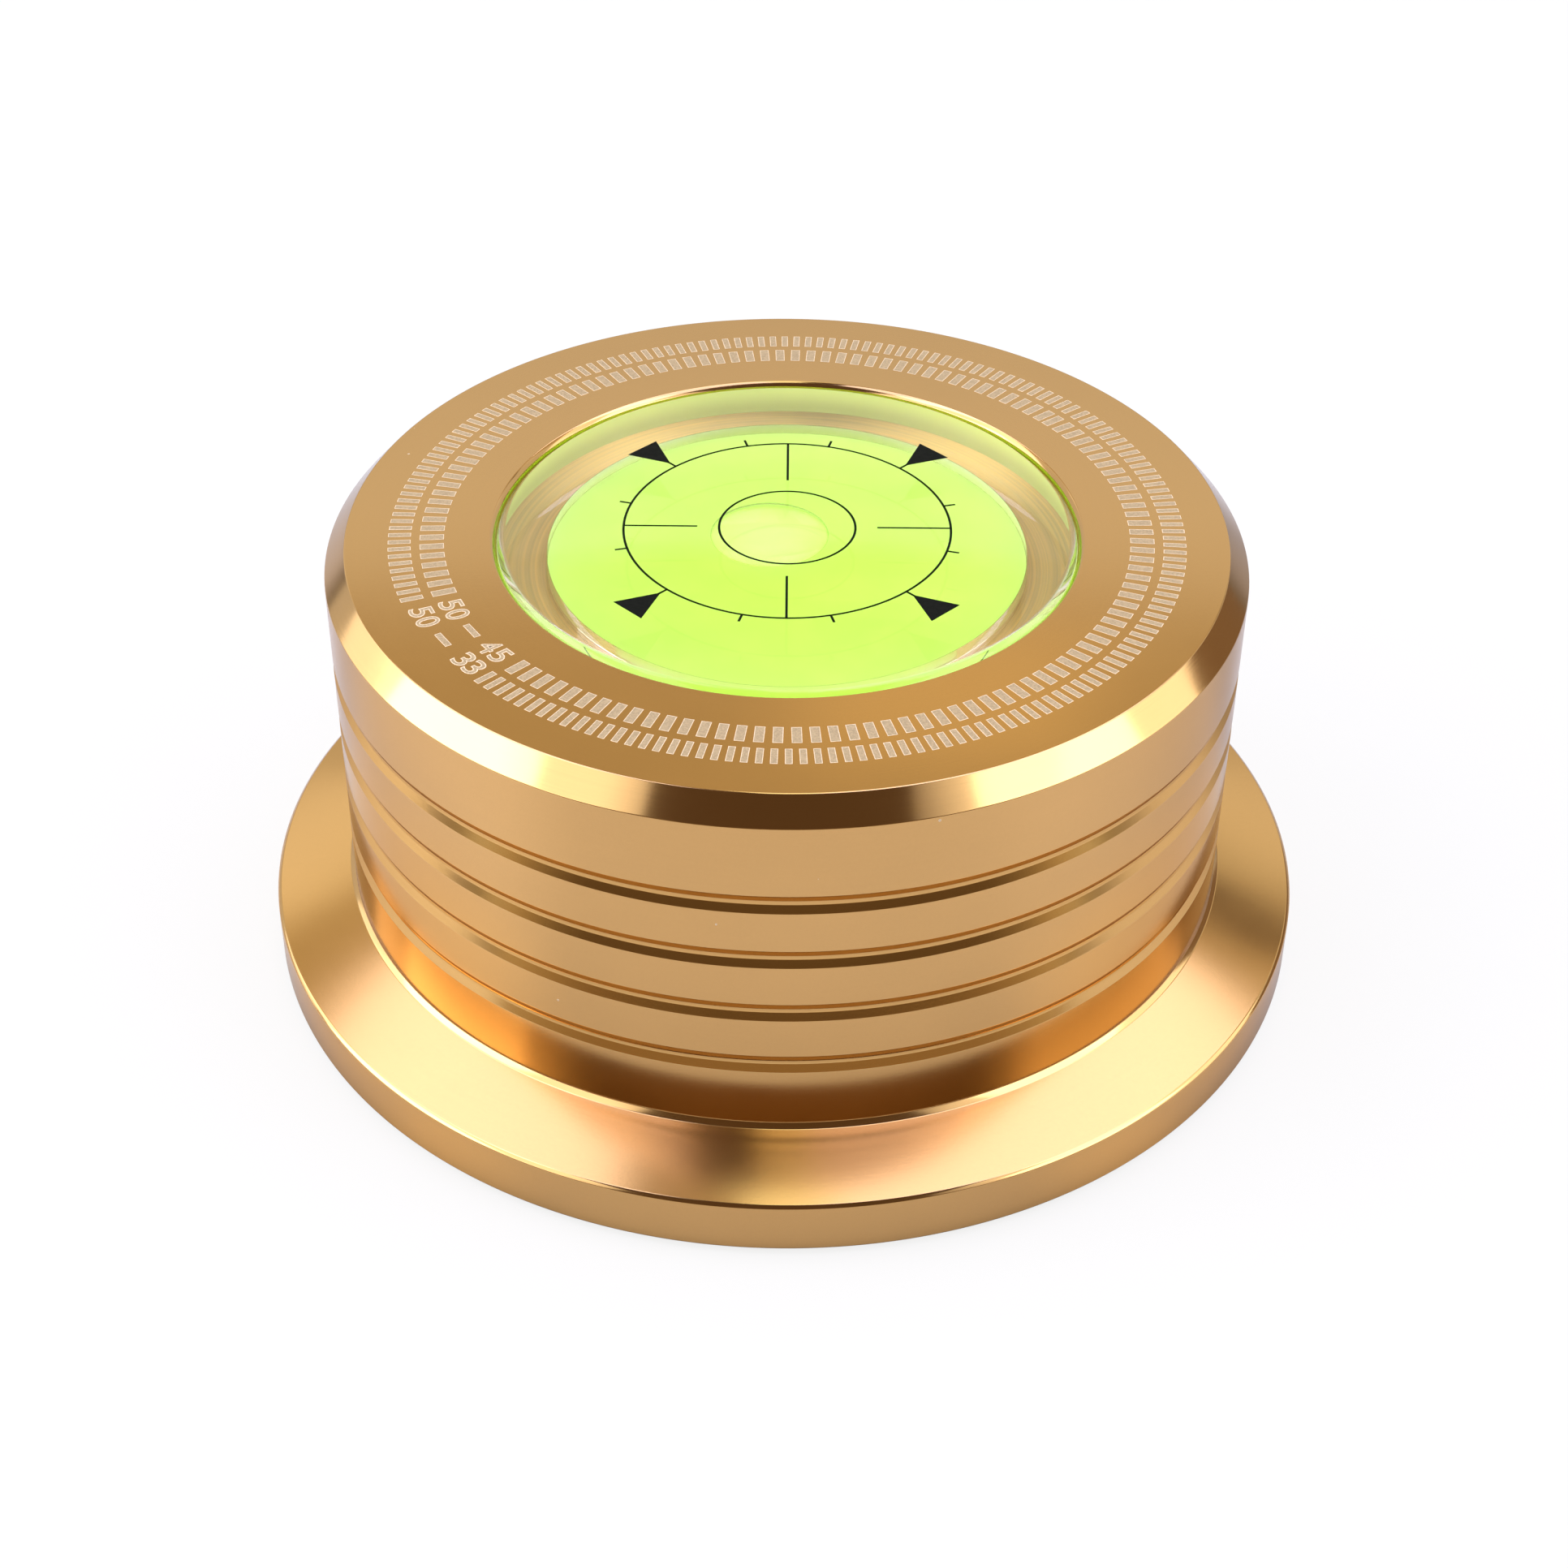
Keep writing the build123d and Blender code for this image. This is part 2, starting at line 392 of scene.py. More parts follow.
# %% Group: place on the lathe
lathe_place, entry, leave = new_group(
    "lathe place",
    [("Vector", "Vector", None)],
    [("Radius", "Float"), ("Height", "Float"), ("Turn", "Float")],
)
axes = add(lathe_place, "SeparateXYZ", Vector=entry["Vector"]).outputs
squares = [math(lathe_place, "POWER", axes[name], 2.0) for name in ("X", "Y")]
put(lathe_place, leave["Radius"], math(lathe_place, "SQRT", math(lathe_place, "ADD", *squares)))
put(lathe_place, leave["Height"], axes["Z"])
put(lathe_place, leave["Turn"], math(lathe_place, "ARCTAN2", axes["Y"], axes["X"]))
print("group:", lathe_place.name)

# %% Group: satin grain
CLOUD_SCALE, CLOUD_DRIFT = 160.0, 0.07  # clouds per metre, and how far the tone drifts between them
satin_grain, entry, leave = new_group(
    "satin grain",
    [("Vector", "Vector", None), ("Grain", "Float", 5000.0), ("Depth", "Float", 0.06)],
    [("Tone", "Float"), ("Height", "Float"), ("Cloud", "Float")],
)
fine, cloud = (
    add(satin_grain, "TexNoise", Vector=entry["Vector"], Scale=scale, Detail=3.0).outputs["Fac"]
    for scale in (entry["Grain"], CLOUD_SCALE)
)
lift = swing(satin_grain, fine, entry["Depth"])
drift = swing(satin_grain, cloud, CLOUD_DRIFT)
put(satin_grain, leave["Tone"], math(satin_grain, "ADD", math(satin_grain, "ADD", lift, drift), 1.0))
put(satin_grain, leave["Height"], fine)
put(satin_grain, leave["Cloud"], cloud)
print("group:", satin_grain.name)

# %% Group: turning lines
turning_lines, entry, leave = new_group(
    "turning lines",
    [("Vector", "Vector", None), ("Pitch", "Float", 9000.0), ("Waver", "Float", 1.5)],
    [("Line", "Float")],
)
spot = use(turning_lines, lathe_place, Vector=entry["Vector"])
along = add(
    turning_lines,
    "CombineXYZ",
    X=times(turning_lines, spot["Radius"], entry["Pitch"]),
    Y=times(turning_lines, spot["Height"], entry["Pitch"]),
    Z=times(turning_lines, math(turning_lines, "COSINE", spot["Turn"]), entry["Waver"]),
)
cut = add(turning_lines, "TexNoise", Vector=along.outputs[0], Scale=1.0, Detail=2.0)
put(turning_lines, leave["Line"], cut.outputs["Fac"])
print("group:", turning_lines.name)

# %% Group: dust
LARGEST_SPECK = 0.10  # as a share of a cell
dust, entry, leave = new_group(
    "dust",
    [("Vector", "Vector", None), ("Spacing", "Float", 900.0), ("Amount", "Float", 0.1)],
    [("Mask", "Float")],
)
cells = add(dust, "TexVoronoi", Vector=entry["Vector"], Scale=entry["Spacing"])
chance = add(dust, "SeparateColor", Color=cells.outputs["Color"])
picked = math(dust, "LESS_THAN", chance.outputs["Red"], entry["Amount"])
size = times(dust, chance.outputs["Green"], LARGEST_SPECK)
put(dust, leave["Mask"], times(dust, picked, math(dust, "LESS_THAN", cells.outputs["Distance"], size)))
print("group:", dust.name)

# %% [markdown]
# ## Gold anodised finishes
#
# Anodised aluminium keeps the shine of the metal under a thin dyed skin, so all the gold is fully
# metallic and the dye is its base colour. The skin itself is clear and hard, and mirrors a little
# white light of its own. That is why the hottest highlights turn cream and the wall turns grey
# where it curves away, and a coat over the metal does the same. The weight shows five finishes:
# satin on the wall and the flange, a smoother one on the faced top, a bright one on the chamfer and
# the broken edges, one with less skin in the grooves, where the gold mirrors gold, and coarse tool
# lines on the floor of the recess, which the clear level lets one see.

# %% Gold finishes
GOLD, PALE_GOLD = rgb(0.62, 0.365, 0.12), rgb(0.80, 0.52, 0.13)
DUST_COLOUR, SKIN_TINT, SKIN_IOR = rgb(0.78, 0.64, 0.45), rgb(0.7, 0.6, 0.5), 1.6
CLOUD_DULLS, LINE_DULLS, DUST_DULLS = 0.06, 0.3, 0.4  # what each adds to the roughness


def gold_finish(name, dye, roughness, coat, grain_depth, line_pitch, line_depth, bump, dust_amount):
    """A gold anodised surface with its own dye, clear skin, grain, tool lines and dust."""
    finish, tree, skin = new_finish(name)
    here = place_of(tree)
    grain = use(tree, satin_grain, Vector=here, Depth=grain_depth)
    lines = use(tree, turning_lines, Vector=here, Pitch=line_pitch)
    specks = use(tree, dust, Vector=here, Amount=dust_amount)["Mask"]
    line = swing(tree, lines["Line"], line_depth)
    tone = math(tree, "ADD", grain["Tone"], line)
    dyed = blend(tree, 1.0, dye, grey(tree, tone), "MULTIPLY")
    put(tree, skin.inputs["Base Color"], blend(tree, specks, dyed, DUST_COLOUR))
    skin.inputs["Metallic"].default_value = 1.0
    skin.inputs["Specular Tint"].default_value = SKIN_TINT
    skin.inputs["Coat Weight"].default_value = coat
    skin.inputs["Coat IOR"].default_value = SKIN_IOR
    skin.inputs["Coat Roughness"].default_value = roughness
    dull = math(tree, "ADD", swing(tree, grain["Cloud"], CLOUD_DULLS), times(tree, line, LINE_DULLS))
    dull = math(tree, "ADD", math(tree, "ADD", dull, roughness), times(tree, specks, DUST_DULLS))
    put(tree, skin.inputs["Roughness"], dull)
    height = math(tree, "ADD", times(tree, grain["Height"], grain_depth), line)
    relief = add(tree, "Bump", Strength=1.0, Distance=bump * MM, Height=height)
    put(tree, skin.inputs["Normal"], relief.outputs["Normal"])
    print(f"{name}: roughness {roughness}, coat {coat}")
    return finish


# Name, dye, roughness, coat, depth of the grain, pitch and depth of the lines, bump in millimetres,
# and dust.
satin_gold = gold_finish("satin_gold", GOLD, 0.16, 0.5, 0.08, 7000.0, 0.03, 0.010, 0.014)
faced_gold = gold_finish("faced_gold", GOLD, 0.10, 1.0, 0.06, 7000.0, 0.03, 0.010, 0.010)
bright_gold = gold_finish("bright_gold", GOLD, 0.11, 1.0, 0.03, 9000.0, 0.10, 0.006, 0.004)
grooved_gold = gold_finish("grooved_gold", GOLD, 0.10, 0.2, 0.06, 7000.0, 0.03, 0.010, 0.0)
turned_gold = gold_finish("turned_gold", PALE_GOLD, 0.52, 1.0, 0.04, 6000.0, 0.80, 0.020, 0.006)

# %% [markdown]
# The turned floor is rough across its lines and smooth along them, so a lamp is drawn out into a
# streak across the lines, and the floor shows light and dark sectors as a turned lid does. The
# shader does that itself when it is told the direction across the lines, which on a lathe points
# away from the axis.

# %% Streaks on the turned floor
STREAK = 0.92
tree = turned_gold.node_tree
skin = tree.nodes["Principled BSDF"]
spot = add(tree, "SeparateXYZ", Vector=place_of(tree))
across_lines = add(tree, "CombineXYZ", X=spot.outputs["X"], Y=spot.outputs["Y"], Z=MM)
put(tree, skin.inputs["Tangent"], across_lines.outputs[0])
skin.inputs["Anisotropic"].default_value = STREAK
print(f"turned_gold: streaks of {STREAK} across its lines")

# %% [markdown]
# ## The weight
#
# The weight is turned from one bar, so its mesh is turned too: a half outline is drawn in the XZ
# plane and spun about Z. The CAD solid has the same outline with plain breaks for its edges. At
# this distance the camera sees a bright line along every broken edge, so here the two flat breaks
# of the flange have soft borders, and the other corners are spun sharp and then bevelled to true
# rounds. The top face lies a hair low, which leaves room for the marks without raising the weight.

# %% Helpers: spin an outline, round its corners, keep the piece
TURN_STEPS = 256
WELD, FINE_WELD = 1e-7, 1e-8  # metres within which points are joined
TOUCH = 2e-6  # metres within which a point lies on a circle


def spun(outline, steps=TURN_STEPS, closed=False):
    """A mesh turned about Z from (radius, height) corners in millimetres."""
    mesh = bmesh.new()
    corners = [mesh.verts.new((r * MM, 0, z * MM)) for r, z in outline]
    following = corners[1:] + corners[:1] if closed else corners[1:]
    sides = [mesh.edges.new(pair) for pair in zip(corners, following)]
    bmesh.ops.spin(
        mesh, geom=corners + sides, cent=(0, 0, 0), axis=(0, 0, 1),
        angle=2 * pi, steps=steps, use_merge=True,
    )
    bmesh.ops.remove_doubles(mesh, verts=mesh.verts, dist=WELD)
    bmesh.ops.recalc_face_normals(mesh, faces=mesh.faces)
    return mesh


def rounded(mesh, radius, height, size, segments=4):
    """Round the circular edge at that radius and height."""

    def on_circle(vert):
        return abs(vert.co.xy.length - radius * MM) < TOUCH and abs(vert.co.z - height * MM) < TOUCH

    edges = [e for e in mesh.edges if all(on_circle(v) for v in e.verts)]
    bmesh.ops.bevel(
        mesh, geom=edges, offset=size * MM, segments=segments,
        profile=0.5, affect="EDGES", material=-1,
    )


def keep(mesh, name, slot, *finishes, sharp=None):
    """Turn a finished mesh into a piece that rides on the weight."""
    data = bpy.data.meshes.new(name)
    mesh.to_mesh(data)
    mesh.free()
    for finish in finishes:
        data.materials.append(finish)
    data.shade_smooth()
    if sharp:
        data.set_sharp_from_angle(angle=radians(sharp))
    piece = bpy.data.objects.new(name, data)
    scene.collection.objects.link(piece)
    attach(piece, "root")
    data.calc_loop_triangles()
    print(f"{name}: {len(data.loop_triangles)} triangles")
    return piece


# %% Sizes of the weight
MARK_DEPTH = 0.012
UNDERSIDE, TOP = 0.5, 34.4 - MARK_DEPTH
FLANGE_RADIUS, WALL_RADIUS = 39.985, 33.8
RIM_TOP = 4.6
FLANGE_SLOPE = radians(17.0)
WALL_FOOT = RIM_TOP + (FLANGE_RADIUS - WALL_RADIUS) * tan(FLANGE_SLOPE)
RIM_BREAK, RIM_BREAK_RUN = 0.13, 0.25  # height and run of the flat break along the flange's edge
CORNER_BREAK, CORNER_BREAK_RUN = 0.21, 0.36  # the same where the flange meets the wall
WALL_HEAD = 32.66
TOP_EDGE = 32.25  # radius at which the top face meets the chamfer
RECESS_RADIUS, RECESS_FLOOR, RECESS_BREAK = 21.4, 27.8, 0.3
PAD_RECESS_INNER, PAD_RECESS_OUTER, PAD_RECESS_ROOF = 6.8, 35.5, 1.5
BORE_RADIUS, BORE_CHAMFER, BORE_END, BORE_TIP = 3.7, 0.6, 20.577, 22.8
GROOVE_DEPTH, GROOVE_FLANK, GROOVE_FLOOR, GROOVE_COUNT = 0.28, 0.60, 0.30, 4
GROOVE_LOWEST, GROOVE_HIGHEST = 11.415, 25.58
GROOVE_PITCH = (GROOVE_HIGHEST - GROOVE_LOWEST) / (GROOVE_COUNT - 1)
groove_bottoms = [GROOVE_LOWEST + i * GROOVE_PITCH for i in range(GROOVE_COUNT)]
print("grooves at", [round(b, 2) for b in groove_bottoms])


# %% Outline of the weight
def on_slope(radius):
    """The point on the flange's sloping top at that radius."""
    return radius, RIM_TOP + (FLANGE_RADIUS - radius) * tan(FLANGE_SLOPE)


def groove_corners(bottom):
    """The four corners of a groove, from its lower lip up."""
    floor_radius = WALL_RADIUS - GROOVE_DEPTH
    floor_bottom = bottom + GROOVE_FLANK
    floor_top = floor_bottom + GROOVE_FLOOR
    lips = (WALL_RADIUS, bottom), (WALL_RADIUS, floor_top + GROOVE_FLANK)
    return [lips[0], (floor_radius, floor_bottom), (floor_radius, floor_top), lips[1]]


rim_break = [(FLANGE_RADIUS, RIM_TOP - RIM_BREAK), on_slope(FLANGE_RADIUS - RIM_BREAK_RUN)]
corner_break = [on_slope(WALL_RADIUS + CORNER_BREAK_RUN), (WALL_RADIUS, WALL_FOOT + CORNER_BREAK)]
outline = [(0, BORE_TIP), (BORE_RADIUS, BORE_END), (BORE_RADIUS, UNDERSIDE + BORE_CHAMFER)]
outline += [(BORE_RADIUS + BORE_CHAMFER, UNDERSIDE)]
outline += [(PAD_RECESS_INNER, UNDERSIDE), (PAD_RECESS_INNER, PAD_RECESS_ROOF)]
outline += [(PAD_RECESS_OUTER, PAD_RECESS_ROOF), (PAD_RECESS_OUTER, UNDERSIDE)]
outline += [(FLANGE_RADIUS, UNDERSIDE)] + rim_break + corner_break
for bottom in groove_bottoms:
    outline += groove_corners(bottom)
outline += [(WALL_RADIUS, WALL_HEAD), (TOP_EDGE, TOP), (RECESS_RADIUS + RECESS_BREAK, TOP)]
outline += [(RECESS_RADIUS, TOP - RECESS_BREAK), (RECESS_RADIUS, RECESS_FLOOR), (0, RECESS_FLOOR)]
print(f"{len(outline)} corners")

# %% Spin the weight and round its edges
FOOT_ROUND, BREAK_ROUND, TOP_ROUND, RECESS_ROUND = 0.25, 0.05, 0.06, 0.04
LIP_ROUND, GROOVE_ROUND = 0.025, 0.04
mesh = spun(outline)
rounded(mesh, FLANGE_RADIUS, UNDERSIDE, FOOT_ROUND, 3)
for corner in rim_break + corner_break:
    rounded(mesh, *corner, BREAK_ROUND, 2)
groove_rounds = LIP_ROUND, GROOVE_ROUND, GROOVE_ROUND, LIP_ROUND
for bottom in groove_bottoms:
    for corner, size in zip(groove_corners(bottom), groove_rounds):
        rounded(mesh, *corner, size, 2)
rounded(mesh, WALL_RADIUS, WALL_HEAD, TOP_ROUND, 3)
rounded(mesh, TOP_EDGE, TOP, TOP_ROUND, 3)
rounded(mesh, RECESS_RADIUS + RECESS_BREAK, TOP, RECESS_ROUND, 2)
rounded(mesh, RECESS_RADIUS, TOP - RECESS_BREAK, RECESS_ROUND, 2)
print(f"{len(mesh.faces)} faces")

# %% Give each face of the weight its finish
NEAR, HAIR = 0.03, 0.01  # how close a face's middle lies to the edge that it belongs to
UPRIGHT, STEEP, SLOPING, LEVEL = 0.1, 0.3, 0.9, 0.98  # heights of a face's normal
SATIN, FACED, BRIGHT, TURNED, GROOVED = range(5)
for face in mesh.faces:
    middle = face.calc_center_median()
    radius, height = middle.xy.length / MM, middle.z / MM
    in_bore = radius < BORE_RADIUS + BORE_CHAMFER
    in_recess = radius < RECESS_RADIUS + RECESS_BREAK and height > RECESS_FLOOR - NEAR
    on_chamfer = height > WALL_HEAD - NEAR and radius > TOP_EDGE - NEAR and face.normal.z < LEVEL
    on_break = UNDERSIDE < height < GROOVE_LOWEST and STEEP < face.normal.z < SLOPING
    in_groove = radius < WALL_RADIUS - HAIR and GROOVE_LOWEST < height < WALL_HEAD
    if in_recess and height < RECESS_FLOOR + HAIR or in_bore:
        face.material_index = TURNED
    elif on_chamfer or on_break or in_recess:
        face.material_index = BRIGHT
    elif in_groove:
        face.material_index = GROOVED
    elif height > WALL_HEAD:
        face.material_index = FACED
    else:
        face.material_index = SATIN
finishes = satin_gold, faced_gold, bright_gold, turned_gold, grooved_gold
weight = keep(mesh, "weight", "gold_anodised", *finishes)
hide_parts("weight_body")
flat_faces = weight.modifiers.new("flat faces stay flat", "WEIGHTED_NORMAL")
flat_faces.mode = "FACE_AREA_WITH_ANGLE"
flat_faces.keep_sharp = True

# %% [markdown]
# ## Strobe marks
#
# Under a lamp on 50 Hz mains the two rings of bars stand still when the platter turns at the speed
# beside them. They are burnt through the dye by a laser, which leaves a pale patch with a paler
# border. A texture could draw them, but their edges would blur when the finish is baked, so each
# bar is a thin plate with an inset border. The rings were burnt once round, and the join shows as
# one odd gap.


# %% Finish of the marks
def mark_finish(name, colour, contrast):
    """Metal laid bare by the laser: pale, matt and finely hatched."""
    finish, tree, skin = new_finish(name)
    hatch = add(tree, "TexNoise", Vector=place_of(tree), Scale=7000.0, Detail=2.0).outputs["Fac"]
    burnt = [c * (1 - contrast) for c in colour[:3]] + [1.0]
    put(tree, skin.inputs["Base Color"], blend(tree, spread(tree, hatch, 0.35, 0.65), burnt, colour))
    skin.inputs["Metallic"].default_value = 0.35
    put(tree, skin.inputs["Roughness"], spread(tree, hatch, 0.3, 0.7, 0.45, 0.60))
    relief = add(tree, "Bump", Strength=0.6, Distance=0.004 * MM, Height=hatch)
    put(tree, skin.inputs["Normal"], relief.outputs["Normal"])
    return finish


MARK_FILL, MARK_BORDER = range(2)
mark_finishes = (
    mark_finish("mark_fill", rgb(0.455, 0.345, 0.20), 0.25),
    mark_finish("mark_border", rgb(0.76, 0.62, 0.43), 0.10),
)
print("marks:", ", ".join(finish.name for finish in mark_finishes))

# %% Bars
BAR_TOP, BAR_BOTTOM = TOP + MARK_DEPTH, TOP - 0.010  # the plates reach a little into the metal
BAR_BORDER = 0.07
SEAM = 397.7  # azimuth of the join in the rings
DASH_WIDTH, DASH_LENGTH = 0.50, 1.72
DASHES = ((28.12, 212.7), (25.92, 212.8))  # middle radius and azimuth


def plate(mesh, azimuth, inner, outer, width, bottom, top):
    """A thin upright-sided rectangle along a radius."""
    size = Matrix.Diagonal((outer - inner, width, top - bottom, 1))
    middle = Matrix.Translation(((inner + outer) / 2, 0, (top + bottom) / 2))
    turn = Matrix.Rotation(radians(azimuth), 4, "Z")
    bmesh.ops.create_cube(mesh, size=1.0, matrix=Matrix.Scale(MM, 4) @ turn @ middle @ size)


def ring_of_bars(mesh, count, first, last, seam_gap, inner, outer, width):
    """Bars from the first azimuth round to the last, with one odd gap at the seam."""
    pitch = (last - first - seam_gap) / (count - 1)
    for i in range(count):
        azimuth = first + i * pitch
        azimuth += seam_gap if azimuth > SEAM else 0
        plate(mesh, azimuth, inner, outer, width, BAR_BOTTOM, BAR_TOP)
    print(f"{count} bars, {pitch:.3f} degrees apart")


mesh = bmesh.new()
ring_of_bars(mesh, 175, 224.05, 560.95, seam_gap=0.31, inner=27.45, outer=29.10, width=0.50)
ring_of_bars(mesh, 124, 225.22, 560.85, seam_gap=-0.43, inner=25.05, outer=26.80, width=0.70)
for radius, azimuth in DASHES:
    inner, outer = radius - DASH_WIDTH / 2, radius + DASH_WIDTH / 2
    plate(mesh, azimuth, inner, outer, DASH_LENGTH, BAR_BOTTOM, BAR_TOP)
upper = [f for f in mesh.faces if f.normal.z > LEVEL]
for face in mesh.faces:
    face.material_index = MARK_BORDER
bmesh.ops.inset_individual(mesh, faces=upper, thickness=BAR_BORDER * MM)
for face in upper:
    face.material_index = MARK_FILL
keep(mesh, "strobe_bars", "gold_anodised", *mark_finishes, sharp=30)

# %% [markdown]
# ## Numerals
#
# Beside the gap in each ring stand the mains frequency and the speed. They are set in a plain bold
# face, one numeral at a time, with their tops towards the level. Blender's own typeface is made a
# mesh first, then measured and scaled to the height and width that the photograph shows, and last
# turned into its place. An inset would cross itself in such thin strokes, so the pale border is a
# plate with swollen strokes, and the fill is a thinner numeral that stands a hair higher.

# %% Numerals beside the rings
NUMERAL_HEIGHT, NUMERAL_WIDTH = 1.75, 1.16
NUMERALS = (
    (28.12, (("5", 204.75), ("0", 207.50), ("3", 218.55), ("3", 221.10))),
    (25.92, (("5", 204.70), ("0", 207.60), ("4", 218.15), ("5", 221.05))),
)
BOLD, THIN = 0.022, -0.012  # how far the strokes are swollen or thinned
BORDER_DROP = 0.004  # of the border below the fill


def numeral(character, swell):
    """A numeral as a flat plate, one typeface unit high."""
    letter = bpy.data.curves.new("numeral", "FONT")
    letter.body = character
    letter.offset = swell
    letter.extrude = 0.5
    holder = bpy.data.objects.new("numeral", letter)
    scene.collection.objects.link(holder)
    state = bpy.context.evaluated_depsgraph_get()
    shape = bpy.data.meshes.new_from_object(holder.evaluated_get(state))
    bpy.data.objects.remove(holder)
    return shape


def join(mesh, shape, finish=0):
    """Add a finished shape to a mesh, in the given finish, and drop the shape."""
    first = len(mesh.faces)
    mesh.from_mesh(shape)
    mesh.faces.ensure_lookup_table()
    for face in mesh.faces[first:]:
        face.material_index = finish
    bpy.data.meshes.remove(shape)


def set_numeral(mesh, character, radius, azimuth):
    """A bordered numeral with its top towards the axis."""
    border, fill = numeral(character, BOLD), numeral(character, THIN)
    low = Vector([min(v.co[i] for v in border.vertices) for i in range(3)])
    high = Vector([max(v.co[i] for v in border.vertices) for i in range(3)])
    span = high - low
    turn = Matrix.Rotation(radians(azimuth), 4, "Z")
    upright = Matrix.Rotation(pi / 2, 4, "Z")
    plates = (border, MARK_BORDER, BAR_TOP - BORDER_DROP), (fill, MARK_FILL, BAR_TOP)
    for shape, finish, top in plates:
        size = (NUMERAL_WIDTH / span.x, NUMERAL_HEIGHT / span.y, (top - BAR_BOTTOM) / span.z, 1)
        out = Matrix.Translation((radius, 0, (top + BAR_BOTTOM) / 2))
        shape.transform(Matrix.Diagonal(size) @ Matrix.Translation(-(low + high) / 2))
        shape.transform(Matrix.Scale(MM, 4) @ turn @ out @ upright)
        join(mesh, shape, finish)


mesh = bmesh.new()
for radius, row in NUMERALS:
    for character, azimuth in row:
        set_numeral(mesh, character, radius, azimuth)
bmesh.ops.remove_doubles(mesh, verts=mesh.verts, dist=FINE_WELD)
keep(mesh, "numerals", "gold_anodised", *mark_finishes, sharp=30)

# %% [markdown]
# ## The level
#
# The level is a thick disc of clear acrylic, hollowed from below, filled with a yellow-green spirit
# and closed by a white disc. Light bends at each wall, and that bending is what shows the gold
# floor around the green and the pale band at the back, so the real walls are built. The outer side
# of the disc was turned and never polished: it is frosted. The green light that it catches from the
# spirit is painted on it as a green colour and a painted glow, with painted shade that darkens it
# towards the bottom. The spirit's dye glows a little, as such dyes do, and that glow is painted as a
# faint emission. Where acrylic touches spirit there is no air. A path tracer only sees that if the
# two meshes overlap slightly, so the spirit is drawn a hair larger than its chamber. The bubble is a
# hollow in it, with its faces turned inwards.


# %% Clear finishes
def clear_finish(name, colour, ior, roughness):
    """A clear dielectric that lets lamps shine straight through to what lies behind it."""
    finish, tree, body = new_finish(name)
    body.inputs["Base Color"].default_value = colour
    body.inputs["Roughness"].default_value = roughness
    body.inputs["IOR"].default_value = ior
    body.inputs["Transmission Weight"].default_value = 1.0
    through = add(tree, "BsdfTransparent", Color=colour)
    shadow = add(tree, "LightPath").outputs["Is Shadow Ray"]
    show_mix(tree, shadow, body.outputs[0], through.outputs[0])
    return finish, tree, body


ACRYLIC_IOR, SPIRIT_IOR = 1.49, 1.36
acrylic, _, _ = clear_finish("clear_acrylic_polished", rgb(0.985, 0.99, 0.975), ACRYLIC_IOR, 0.0)
print("acrylic:", acrylic.name)

# %% Frosted side of the acrylic, with a painted green glow and painted shade towards the bottom
FROST_PAINTED_GREEN, FROST_PAINTED_SHADE, FROST_PAINTED_LIGHT = rgb(0.84, 0.95, 0.50), rgb(0.50, 0.52, 0.16), rgb(0.90, 1.0, 0.36)
turned_acrylic, tree, skin = clear_finish("clear_acrylic_turned", FROST_PAINTED_GREEN, ACRYLIC_IOR, 0.40)
height = add(tree, "SeparateXYZ", Vector=place_of(tree)).outputs["Z"]
# Painted shade: the frosted side is darker towards the bottom, where less light reaches.
painted_frost_shade = blend(tree, spread(tree, height, 28.5 * MM, 33.0 * MM), FROST_PAINTED_SHADE, FROST_PAINTED_LIGHT)
put(tree, skin.inputs["Base Color"], painted_frost_shade)
skin.inputs["Transmission Weight"].default_value = 0.3
# A painted glow for the green light that the frosted side catches from the spirit.
skin.inputs["Emission Color"].default_value = rgb(0.70, 0.90, 0.22)
skin.inputs["Emission Strength"].default_value = 0.10
print("frosted side:", turned_acrylic.name)

# %% Spirit's finish, with a painted glow
DYE, DYE_DENSITY = rgb(0.80, 0.985, 0.08), 460.0
spirit, tree, body = clear_finish("yellow_green_spirit", rgb(1.0, 1.0, 1.0), SPIRIT_IOR, 0.0)
# The dye glows a little, as such dyes do, and that glow is painted as a faint emission.
body.inputs["Emission Color"].default_value = rgb(0.70, 1.0, 0.20)
body.inputs["Emission Strength"].default_value = 0.06
tint = add(tree, "VolumeAbsorption", Color=DYE, Density=DYE_DENSITY)
put(tree, tree.nodes["Material Output"].inputs["Volume"], tint.outputs[0])
print("spirit:", spirit.name)

# %% Vial
VIAL_RADIUS, VIAL_TOP, VIAL_CHAMFER, VIAL_ROUND = 21.3, 34.3, 0.5, 0.15
CHAMBER_RADIUS, CHAMBER_EDGE, CEILING_RISE = 17.5, 30.4, 0.6
BASE_TOP = 28.8
DOME_RADIUS = (CHAMBER_RADIUS**2 + CEILING_RISE**2) / (2 * CEILING_RISE)
DOME_STEPS, LEVEL_STEPS = 12, 192
FLOAT = 0.02  # the vial stands clear of the recess floor by a breath of air
POLISHED, FROSTED = range(2)


def ceiling_height(radius):
    """Height of the chamber's hollowed ceiling at that distance from the axis."""
    return CHAMBER_EDGE + CEILING_RISE - DOME_RADIUS + (DOME_RADIUS**2 - radius**2) ** 0.5


